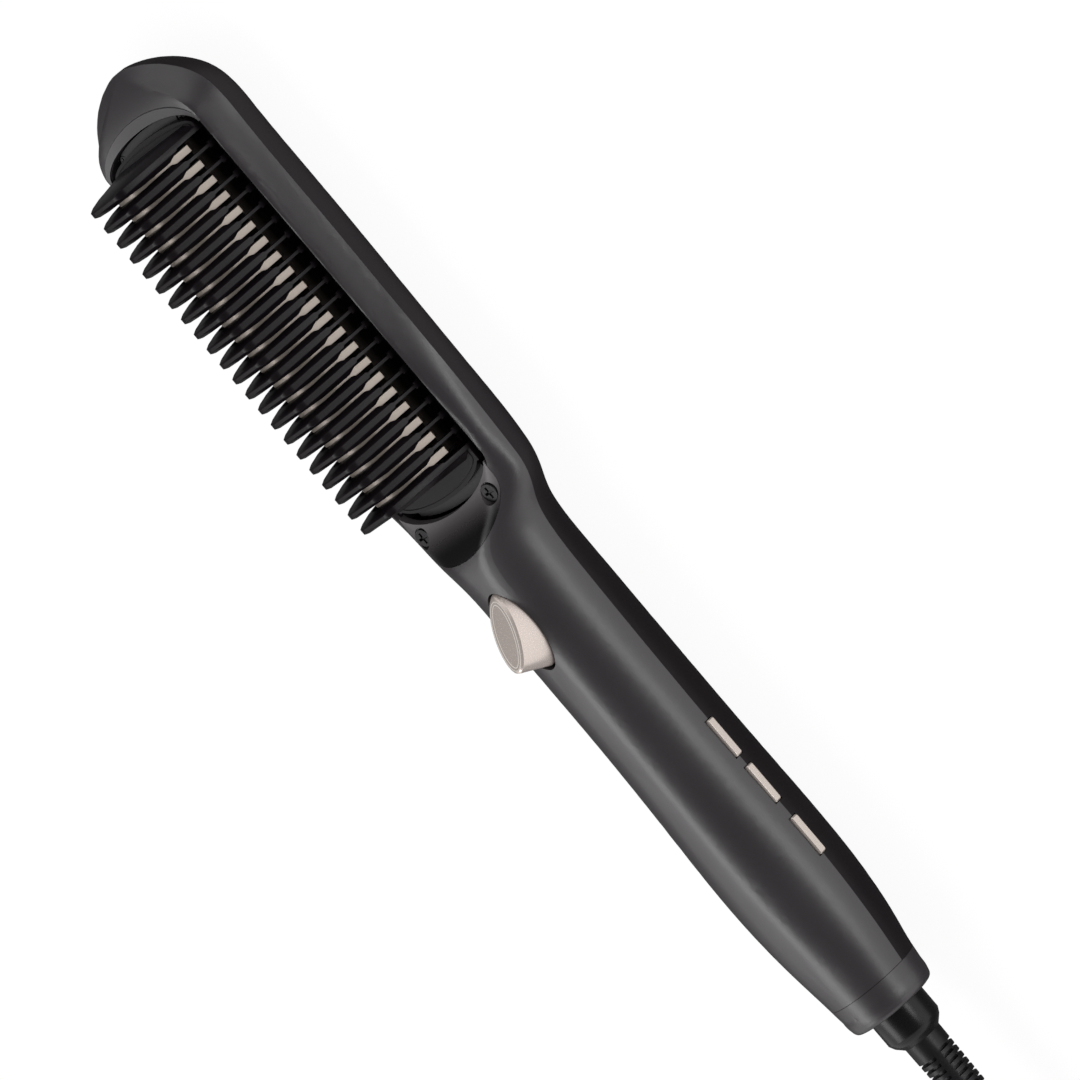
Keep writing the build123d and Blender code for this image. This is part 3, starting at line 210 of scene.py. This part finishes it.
def surface_group(name, grain_scale, blotch_scale, stretch):
    """Grain, blotches and a two-tone colour: what all the finishes of the brush share."""
    tree, given, result = group(
        name,
        (
            ("Colour", "NodeSocketColor", (0.5, 0.5, 0.5, 1)),
            ("Second Colour", "NodeSocketColor", (0.4, 0.4, 0.4, 1)),
            ("Least Roughness", "NodeSocketFloat", 0.3),
            ("Most Roughness", "NodeSocketFloat", 0.5),
            ("Grain", "NodeSocketFloat", 1.0),
        ),
        (("Colour", "NodeSocketColor"), ("Roughness", "NodeSocketFloat"), ("Height", "NodeSocketFloat")),
    )
    grain = noise(tree, grain_scale, 3, stretch)
    blotch = noise(tree, blotch_scale, 4, stretch)
    mask = spread(tree, blotch.outputs["Fac"], 0.0, 1.0)
    mix = tree.nodes.new("ShaderNodeMix")
    mix.data_type = "RGBA"
    tree.links.new(mask, mix.inputs["Factor"])
    tree.links.new(given.outputs["Colour"], mix.inputs["A"])
    tree.links.new(given.outputs["Second Colour"], mix.inputs["B"])
    tree.links.new(mix.outputs["Result"], result.inputs["Colour"])
    least, most = given.outputs["Least Roughness"], given.outputs["Most Roughness"]
    tree.links.new(spread(tree, grain.outputs["Fac"], least, most), result.inputs["Roughness"])
    height = tree.nodes.new("ShaderNodeMath")
    height.operation = "MULTIPLY"
    tree.links.new(grain.outputs["Fac"], height.inputs[0])
    tree.links.new(given.outputs["Grain"], height.inputs[1])
    tree.links.new(height.outputs["Value"], result.inputs["Height"])
    return tree


moulded = surface_group("moulded_grain", 2600, 35, (1, 1, 1))
lacquered = surface_group("lacquer_flake", 5200, 160, (1, 1, 1))
drawn = surface_group("drawn_metal", 1800, 90, (0.06, 1, 1))

GRAIN_DEPTH = 0.02 * MM


def finish(name, tree, colour, second, rough, grain=1.0, metallic=0.0, specular=0.5):
    """A material: a Principled shader fed by one of the surface groups."""
    material = bpy.data.materials.new(name)
    material.use_nodes = True
    inner = material.node_tree
    shader = inner.nodes["Principled BSDF"]
    shader.inputs["Metallic"].default_value = metallic
    shader.inputs["Specular IOR Level"].default_value = specular
    surface = inner.nodes.new("ShaderNodeGroup")
    surface.node_tree = tree
    surface.inputs["Colour"].default_value = (*colour, 1)
    surface.inputs["Second Colour"].default_value = (*second, 1)
    surface.inputs["Least Roughness"].default_value = rough[0]
    surface.inputs["Most Roughness"].default_value = rough[1]
    surface.inputs["Grain"].default_value = grain
    bump = inner.nodes.new("ShaderNodeBump")
    bump.inputs["Distance"].default_value = GRAIN_DEPTH
    bump.inputs["Strength"].default_value = 0.5
    inner.links.new(surface.outputs["Colour"], shader.inputs["Base Color"])
    inner.links.new(surface.outputs["Roughness"], shader.inputs["Roughness"])
    inner.links.new(surface.outputs["Height"], bump.inputs["Height"])
    inner.links.new(bump.outputs["Normal"], shader.inputs["Normal"])
    return material


charcoal = finish(
    "charcoal_moulding", moulded, (0.038, 0.033, 0.037), (0.034, 0.029, 0.033),
    (0.36, 0.41), grain=0.3, specular=1.0,
)
near_black = finish(
    "near_black_moulding", moulded, (0.018, 0.014, 0.016), (0.014, 0.011, 0.013),
    (0.40, 0.48), grain=0.3, specular=0.2,
)
comb_black = finish(
    "comb_moulding", moulded, (0.012, 0.009, 0.011), (0.008, 0.006, 0.008),
    (0.28, 0.33), grain=0.1, specular=0.22,
)
frame_black = finish(
    "frame_moulding", moulded, (0.016, 0.013, 0.015), (0.011, 0.009, 0.010),
    (0.34, 0.42), grain=0.4, specular=0.4,
)
heated = finish(
    "heated_coating", lacquered, (0.66, 0.57, 0.49), (0.61, 0.52, 0.45),
    (0.30, 0.36), grain=0.03, metallic=0.15,
)
# Painted shade: the slab under the fins is coloured near black for the deep gaps between the fins.
slab_painted_shade = finish(
    "heated_slab_painted_shade", lacquered, (0.030, 0.024, 0.020), (0.024, 0.019, 0.016),
    (0.40, 0.48), grain=0.1, specular=0.3,
)
lever_lacquer = finish(
    "lever_lacquer", lacquered, (0.90, 0.79, 0.73), (0.88, 0.77, 0.71),
    (0.24, 0.28), grain=0.0, metallic=0.5,
)
# Painted highlight: the lever's two bright edge lines, as flat rings on its face.
rim_painted_highlight = finish(
    "lever_rim_painted_highlight", lacquered, (0.95, 0.88, 0.82), (0.92, 0.85, 0.79), (0.30, 0.36), grain=0.08,
)
button_lacquer = finish(
    "button_lacquer", lacquered, (0.80, 0.71, 0.65), (0.77, 0.68, 0.62),
    (0.24, 0.30), grain=0.02, metallic=0.6,
)
gloss_black = finish(
    "collar_moulding", moulded, (0.009, 0.008, 0.009), (0.007, 0.006, 0.007),
    (0.24, 0.28), grain=0.15, specular=0.4,
)
sleeve_rubber = finish(
    "sleeve_rubber", moulded, (0.013, 0.012, 0.013), (0.009, 0.008, 0.009),
    (0.34, 0.44), grain=0.4, specular=0.4,
)
black_steel = finish(
    "blackened_steel", drawn, (0.05, 0.048, 0.050), (0.035, 0.033, 0.035), (0.24, 0.34), metallic=0.8,
)
plain_steel = finish(
    "plain_steel", drawn, (0.56, 0.56, 0.57), (0.48, 0.48, 0.50), (0.22, 0.36), metallic=1.0,
)
ceramic = finish("ceramic", moulded, (0.78, 0.76, 0.72), (0.70, 0.68, 0.64), (0.45, 0.6))
board_green = finish("board_green", moulded, (0.03, 0.14, 0.07), (0.02, 0.10, 0.05), (0.3, 0.45))
part_grey = finish("part_grey", moulded, (0.09, 0.09, 0.10), (0.06, 0.06, 0.07), (0.35, 0.5))
lead_red = finish("lead_sleeve", moulded, (0.10, 0.022, 0.016), (0.08, 0.018, 0.013), (0.4, 0.5))
brass = finish("contact_brass", drawn, (0.72, 0.56, 0.28), (0.62, 0.46, 0.22), (0.22, 0.34), metallic=1.0)
acetal = finish("natural_acetal", moulded, (0.72, 0.71, 0.68), (0.66, 0.65, 0.62), (0.35, 0.45))


def darker(colour):
    """The second tone of a colour."""
    return [0.9 * tone for tone in colour]


def painted_light_to_shade_moulding(name, near, far, start, end):
    """A moulding whose colour is painted light and shade along X: a light, rougher near zone, painted light,
    turns between two places into a near-black, glossier far zone, painted shade.
    """
    material = finish(name, moulded, near, darker(near), (0.40, 0.44), grain=0.05, specular=0.7)
    inner = material.node_tree
    shader = inner.nodes["Principled BSDF"]
    satin_painted_light = next(node for node in inner.nodes if node.type == "GROUP")
    polished_painted_shade = inner.nodes.new("ShaderNodeGroup")
    polished_painted_shade.node_tree = moulded
    polished_painted_shade.inputs["Colour"].default_value = (*far, 1)
    polished_painted_shade.inputs["Second Colour"].default_value = (*darker(far), 1)
    polished_painted_shade.inputs["Least Roughness"].default_value = 0.18
    polished_painted_shade.inputs["Most Roughness"].default_value = 0.22
    # Colour and roughness change together along X: the colour change is painted light at the near end and
    # painted shade at the far end.
    place = inner.nodes.new("ShaderNodeTexCoord")
    apart = inner.nodes.new("ShaderNodeSeparateXYZ")
    reach = inner.nodes.new("ShaderNodeMapRange")
    reach.interpolation_type = "SMOOTHSTEP"
    reach.inputs["From Min"].default_value, reach.inputs["From Max"].default_value = start, end
    inner.links.new(place.outputs["Object"], apart.inputs["Vector"])
    inner.links.new(apart.outputs["X"], reach.inputs["Value"])
    for output, socket, kind in (("Colour", "Base Color", "RGBA"), ("Roughness", "Roughness", "FLOAT")):
        mix = inner.nodes.new("ShaderNodeMix")
        mix.data_type = kind
        inner.links.new(reach.outputs["Result"], mix.inputs["Factor"])
        inner.links.new(satin_painted_light.outputs[output], mix.inputs["A"])
        inner.links.new(polished_painted_shade.outputs[output], mix.inputs["B"])
        inner.links.new(mix.outputs["Result"], shader.inputs[socket])
    return material


# The cover plate: painted light, lighter than the shell, at its front and painted shade, near black, at its
# tail.
cover_painted_light_and_shade = painted_light_to_shade_moulding(
    "cover_moulding_painted_light_and_shade", (0.135, 0.122, 0.128), (0.005, 0.004, 0.005), start=at(126.5), end=at(135.0),
)


SHARP = radians(32)      # edges that turn more than this stay sharp
WELD = 0.002 * MM
FLAT = radians(0.05)


def cut_across(made, place, normal, **options):
    """Cuts the whole mesh with a plane and gives the edges of the cut."""
    whole = made.verts[:] + made.edges[:] + made.faces[:]
    cut = bmesh.ops.bisect_plane(made, geom=whole, dist=1e-7, plane_co=place, plane_no=normal, **options)
    return [part for part in cut["geom_cut"] if isinstance(part, bmesh.types.BMEdge)]


def vertices_of(parts):
    """The vertices among the parts that an operator gives back."""
    return [part for part in parts if isinstance(part, bmesh.types.BMVert)]


def shade(made):
    """Smooth shading that breaks at the sharp edges."""
    for face in made.faces:
        face.smooth = True
    for edge in made.edges:
        edge.smooth = len(edge.link_faces) == 2 and edge.calc_face_angle(0) < SHARP


def skin(node, material, bevel=0.0, segments=2, rim=None, reshape=None):
    """A welded, smooth-shaded copy of a CAD node, with its edges broken, that stands for it."""
    mesh = nodes[node].data.copy()
    mesh.materials.clear()
    made = bmesh.new()
    made.from_mesh(mesh)
    bmesh.ops.remove_doubles(made, verts=made.verts, dist=WELD)
    bmesh.ops.dissolve_limit(made, angle_limit=FLAT, verts=made.verts, edges=made.edges)
    if reshape:
        reshape(made)
    shade(made)
    made.to_mesh(mesh)
    made.free()
    piece = bpy.data.objects.new(f"{node}_skin", mesh)
    scene.collection.objects.link(piece)
    mesh.materials.append(material)
    if bevel:
        broken = piece.modifiers.new("broken_edges", "BEVEL")
        broken.width, broken.segments = bevel * MM, segments
        broken.limit_method, broken.angle_limit = "ANGLE", SHARP
        broken.use_clamp_overlap = True
        broken.harden_normals = True
        if rim:
            mesh.materials.append(rim)
            broken.material = 1
    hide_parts(node)
    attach(piece, nodes[node]["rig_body"])
    return piece


def coat(node, material):
    """Gives a CAD node its material."""
    nodes[node].data.materials.clear()
    nodes[node].data.materials.append(material)


# The head's form, in millimetres, for the finishes that follow it
TIP_PLAN = 18.0          # length of the round tip
HEAD_HALF = 24.3         # half the head's width
HEAD_TAPER = 0.00012     # how the head narrows towards the neck, with the square of the distance
TAPER_START = 50.0
CREASE_TIP_Z, CREASE_RISE = 12.6, 3.4 / 275.0
HEAD_LIP_Z = 19.4        # height of the head's flat top
NECK_START, NECK_RISE = 118.0, 0.117
LIP_HALF = 20.1          # half the flat top's width
RECESS_HALF = 19.2       # half the recess's width
LIP_CENTRE, LIP_REACH, LIP_WIDE = 20.0, 6.4, 3.0
SIDE_SOLID, SIDE_REAL = 1.85, 1.04       # roundness of the head's sides: 2 is an ellipse, 1 is flat
SIDE_NEAR = 0.16         # how near to the solid's side a point counts as on it
SIDE_START, SIDE_FADE, SIDE_END = 1.0, 80.0, 121.0


def head_section(station):
    """Half width, crease height, top height and half width of the flat top of the head at a station."""
    share = (1 - (1 - min(station / TIP_PLAN, 1.0)) ** 2) ** 0.5
    crease = CREASE_TIP_Z + CREASE_RISE * station
    half = HEAD_HALF * share ** 1.3 - HEAD_TAPER * max(station - TAPER_START, 0.0) ** 2
    lip = HEAD_LIP_Z + NECK_RISE * max(station - NECK_START, 0.0)
    return half, crease, crease + (lip - crease) * share ** 2, LIP_HALF * share ** 3


def fade(value, start, end):
    """1 before start, 0 after end and a smooth change between them."""
    share = min(max((value - start) / (end - start), 0.0), 1.0)
    return 1 - share * share * (3 - 2 * share)


def flatten_sides(made):
    """Draws the head's round sides in to the flatter facets that run from the lip to the crease."""
    for station in range(24, 124, 4):
        cut_across(made, (at(station), 0, 0), (1, 0, 0))
    for vertex in made.verts:
        station = vertex.co.x / MM + HALF_LENGTH
        if not SIDE_START < station < SIDE_END:
            continue
        half, crease, top, flat = head_section(station)
        out = (abs(vertex.co.y) / MM - flat) / (half - flat)
        over = (vertex.co.z / MM - crease) / (top - crease)
        if out <= 0 or over <= 0:
            continue
        now = (out ** SIDE_SOLID + over ** SIDE_SOLID) ** (1 / SIDE_SOLID)
        if abs(now - 1) >= SIDE_NEAR:
            continue
        flatter = (out ** SIDE_REAL + over ** SIDE_REAL) ** (1 / SIDE_REAL)
        weight = fade(station, SIDE_FADE, SIDE_END) * (1 - fade(station, SIDE_START, 6.0))
        scale = 1 + weight * (now / flatter - 1)
        vertex.co.y *= (flat + (half - flat) * out * scale) / (flat + (half - flat) * out)
        vertex.co.z = (crease + (top - crease) * over * scale) * MM


# The cap's end: station, the solid's radius and the real one's
CAP_FORM = ((279.0, 12.0, 12.05), (281.7, 11.3, 11.75), (282.8, 10.5, 11.35), (283.2, 9.7, 10.75))
AXIS_Z = 16.0


def sharpen_cap(made):
    """Fills out the rounded end of the cap, whose corner is tighter than the solid's."""
    for vertex in made.verts:
        station = vertex.co.x / MM + HALF_LENGTH
        out = Vector((0, vertex.co.y, vertex.co.z - AXIS_Z * MM))
        for (start, solid_a, real_a), (end, solid_b, real_b) in zip(CAP_FORM, CAP_FORM[1:]):
            if start <= station <= end + 0.01:
                share = min((station - start) / (end - start), 1.0)
                solid = solid_a + share * (solid_b - solid_a)
                if out.length / MM > 0.96 * solid:
                    out *= (real_a + share * (real_b - real_a)) / solid
                    vertex.co.y, vertex.co.z = out.y, out.z + AXIS_Z * MM
                break


# The heated plate: its slab, and a fin's outline across the brush and upwards
SLAB_CUT, SLAB_TOP = 19.93, 20.1         # where the solid's fins are cut off, and where the dark slab ends
FIN_OUTLINE = ((-11.0, 19.6), (-12.85, 21.2), (-6.0, 34.7), (6.0, 34.7), (12.85, 21.2), (11.0, 19.6))
FIN_THICK, FIN_TOP_THICK, FIN_TAPER_Z, FIN_TOP_Z, FIN_ROUND = 1.85, 1.0, 28.5, 34.7, 5.2
FIRST_FIN, FIN_PITCH, FINS = 23.388, 4.576, 21


def arch_fins(made):
    """Gives the heated plate fins whose upper corners are a longer round than the solid's."""
    cut = cut_across(made, (0, 0, SLAB_CUT * MM), (0, 0, 1), clear_outer=True)
    bmesh.ops.holes_fill(made, edges=cut, sides=0)
    fin = bmesh.new()
    start = -0.5 * FIN_THICK
    face = fin.faces.new([fin.verts.new(Vector((start, *point)) * MM) for point in FIN_OUTLINE])
    far = bmesh.ops.extrude_face_region(fin, geom=[face], use_keep_orig=True)["geom"]
    bmesh.ops.translate(fin, vec=(FIN_THICK * MM, 0, 0), verts=vertices_of(far))
    corners = [
        edge for edge in fin.edges
        if min(vertex.co.z for vertex in edge.verts) > (FIN_TOP_Z - 0.1) * MM and edge.calc_length() < 2 * MM
    ]
    bmesh.ops.bevel(
        fin, geom=corners, offset=FIN_ROUND * MM, offset_type="OFFSET", segments=12, profile=0.5,
        affect="EDGES", material=-1, clamp_overlap=True,
    )
    cut_across(fin, (0, 0, FIN_TAPER_Z * MM), (0, 0, 1))
    for vertex in fin.verts:
        over = max(vertex.co.z / MM - FIN_TAPER_Z, 0) / (FIN_TOP_Z - FIN_TAPER_Z)
        vertex.co.x = vertex.co.x * (1 - over * (1 - FIN_TOP_THICK / FIN_THICK)) + at(FIRST_FIN)
    bmesh.ops.recalc_face_normals(fin, faces=fin.faces)
    first = fin.verts[:] + fin.edges[:] + fin.faces[:]
    for number in range(1, FINS):
        again = bmesh.ops.duplicate(fin, geom=first)["geom"]
        bmesh.ops.translate(fin, vec=(number * FIN_PITCH * MM, 0, 0), verts=vertices_of(again))
    row = bpy.data.meshes.new("fin_row")
    fin.to_mesh(row)
    fin.free()
    made.from_mesh(row)


# The lever's face from its outline inwards: how wide each ring is, and whether it is a painted highlight
# line
FACE_RINGS = ((0.12, 0), (0.26, 1), (0.50, 0), (0.24, 1))


def paint_lever_highlight_lines(made):
    """Paints two fine highlight lines round the lever's flat face, along its outline: flat rings in a
    brighter material.
    """
    face = max((face for face in made.faces if face.normal.z > 0.3), key=lambda face: face.calc_area())
    region, reached = {face}, [face]
    while reached:
        for edge in reached.pop().edges:
            for beside in edge.link_faces:
                if beside not in region and edge.calc_face_angle(9) < radians(12):
                    region.add(beside)
                    reached.append(beside)
    for width, material in FACE_RINGS:
        ring = bmesh.ops.inset_region(
            made, faces=list(region), thickness=width * MM, depth=0.0, use_even_offset=True,
            use_boundary=True,
        )["faces"]
        for face in ring:
            face.material_index = material


def recess_lip():
    """The raised lip at the tip end of the recess: widest in the middle, running out along the sides."""
    made = bmesh.new()
    edges = []
    for reach, half, rise in (
        (LIP_REACH + 0.03, RECESS_HALF + 0.03, 0.30), (LIP_REACH + LIP_WIDE, LIP_HALF, 0.42),
    ):
        ring = bmesh.ops.create_circle(made, cap_ends=False, segments=160, radius=1)["verts"]
        for vertex in ring:
            station = LIP_CENTRE + reach * vertex.co.x
            height = head_section(station)[2] + rise * fade(station, 12.0, LIP_CENTRE) + 0.02
            vertex.co = Vector((at(station), half * MM * vertex.co.y, height * MM))
        edges += list({edge for vertex in ring for edge in vertex.link_edges})
    bmesh.ops.bridge_loops(made, edges=edges)
    beyond = [vertex for vertex in made.verts if vertex.co.x > at(LIP_CENTRE) + 1e-7]
    bmesh.ops.delete(made, geom=beyond, context="VERTS")
    lower = bmesh.ops.extrude_face_region(made, geom=list(made.faces), use_keep_orig=True)["geom"]
    bmesh.ops.translate(made, vec=(0, 0, -1.2 * MM), verts=vertices_of(lower))
    bmesh.ops.recalc_face_normals(made, faces=made.faces)
    shade(made)
    mesh = bpy.data.meshes.new("recess_lip")
    made.to_mesh(mesh)
    made.free()
    mesh.materials.append(charcoal)
    piece = bpy.data.objects.new("recess_lip", mesh)
    scene.collection.objects.link(piece)
    broken = piece.modifiers.new("broken_edges", "BEVEL")
    broken.width, broken.segments, broken.harden_normals = 0.15 * MM, 2, True
    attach(piece, "root")


skin("front_shell", charcoal, 0.12, reshape=flatten_sides)
recess_lip()
skin("rear_shell", near_black)
# The cover plate's colour is painted light at its front and painted shade at its tail.
skin("cover_plate", cover_painted_light_and_shade, 0.15, rim=charcoal)
skin("chassis", frame_black, 0.12)
skin("comb", comb_black, 0.25, segments=3)
plate = skin("heat_plate", heated, 0.12, reshape=arch_fins)
# Faces below SLAB_TOP take the slab's painted shade.
plate.data.materials.append(slab_painted_shade)
for face in plate.data.polygons:
    if face.center.z < SLAB_TOP * MM:
        face.material_index = 1
lever = skin("trigger", lever_lacquer, 0.2, reshape=paint_lever_highlight_lines)
# The second slot holds the painted highlight lines on the lever's face.
lever.data.materials.append(rim_painted_highlight)
# The cap's broken edges take the near-black frame moulding: painted shade that draws its seam as a dark
# line.
skin("end_cap", charcoal, 0.2, rim=frame_black, reshape=sharpen_cap)
skin("swivel_collar", gloss_black)
skin("strain_relief", sleeve_rubber, 0.08)
for name in ("high", "low", "power"):
    skin(f"button_{name}", button_lacquer, 0.1)
    coat(f"{name}_plunger", acetal)
for node in ("cover_screws", "tip_screws"):
    skin(node, black_steel, 0.06)
for node, material in (
    ("plate_screws", plain_steel), ("link_screw", plain_steel), ("board_screws", plain_steel),
    ("heater", ceramic), ("heater_clip", plain_steel), ("thermal_fuse", plain_steel),
    ("thermistor", part_grey), ("link_rod", frame_black), ("trigger_pin", plain_steel),
    ("link_pin", plain_steel), ("control_board", board_green),
    ("board_parts", part_grey), ("button_board", board_green), ("tact_switches", part_grey),
    ("heater_leads", lead_red), ("swivel_bush", acetal), ("contact_block", part_grey),
    ("swivel_contact", brass),
):
    coat(node, material)

# The spring stands on its seat, with a mesh of its own
spring = skin("return_spring", plain_steel)
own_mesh(spring)

# Floor: white where the camera looks, with the brush's own soft shadow
floor = bpy.data.objects.new("floor", bpy.data.meshes.new("floor"))
plane = bmesh.new()
bmesh.ops.create_grid(plane, x_segments=1, y_segments=1, size=4)
plane.to_mesh(floor.data)
plane.free()
scene.collection.objects.link(floor)
paper = bpy.data.materials.new("paper")
paper.use_nodes = True
pale = paper.node_tree
pale.nodes["Principled BSDF"].inputs["Base Color"].default_value = (0.9, 0.9, 0.9, 1)
pale.nodes["Principled BSDF"].inputs["Roughness"].default_value = 0.9
pale.nodes["Principled BSDF"].inputs["Specular IOR Level"].default_value = 0.0
glow = pale.nodes.new("ShaderNodeEmission")
glow.inputs["Color"].default_value = (1, 1, 1, 1)
glow.inputs["Strength"].default_value = 1.06
# Seen in reflections the floor is a glow, near black under and behind the brush and white in front of it:
# painted shade under the brush.
reflected_floor_painted_shade = pale.nodes.new("ShaderNodeEmission")
place = pale.nodes.new("ShaderNodeTexCoord")
apart = pale.nodes.new("ShaderNodeSeparateXYZ")
painted_shade_by_y = pale.nodes.new("ShaderNodeMapRange")
painted_shade_by_y.interpolation_type = "SMOOTHSTEP"
for name, value in (("From Min", 0.018), ("From Max", 0.036), ("To Min", 0.06), ("To Max", 1.0)):
    painted_shade_by_y.inputs[name].default_value = value
pale.links.new(place.outputs["Object"], apart.inputs["Vector"])
pale.links.new(apart.outputs["Y"], painted_shade_by_y.inputs["Value"])
pale.links.new(painted_shade_by_y.outputs["Result"], reflected_floor_painted_shade.inputs["Strength"])
surface = blend_by_ray(
    pale, ["Is Glossy Ray", "Is Transmission Ray"], 0.9, pale.nodes["Principled BSDF"].outputs[0],
    reflected_floor_painted_shade.outputs[0],
)
surface = blend_by_ray(pale, ["Is Camera Ray"], 0.89, surface, glow.outputs[0])
pale.links.new(surface, pale.nodes["Material Output"].inputs["Surface"])
floor.data.materials.append(paper)
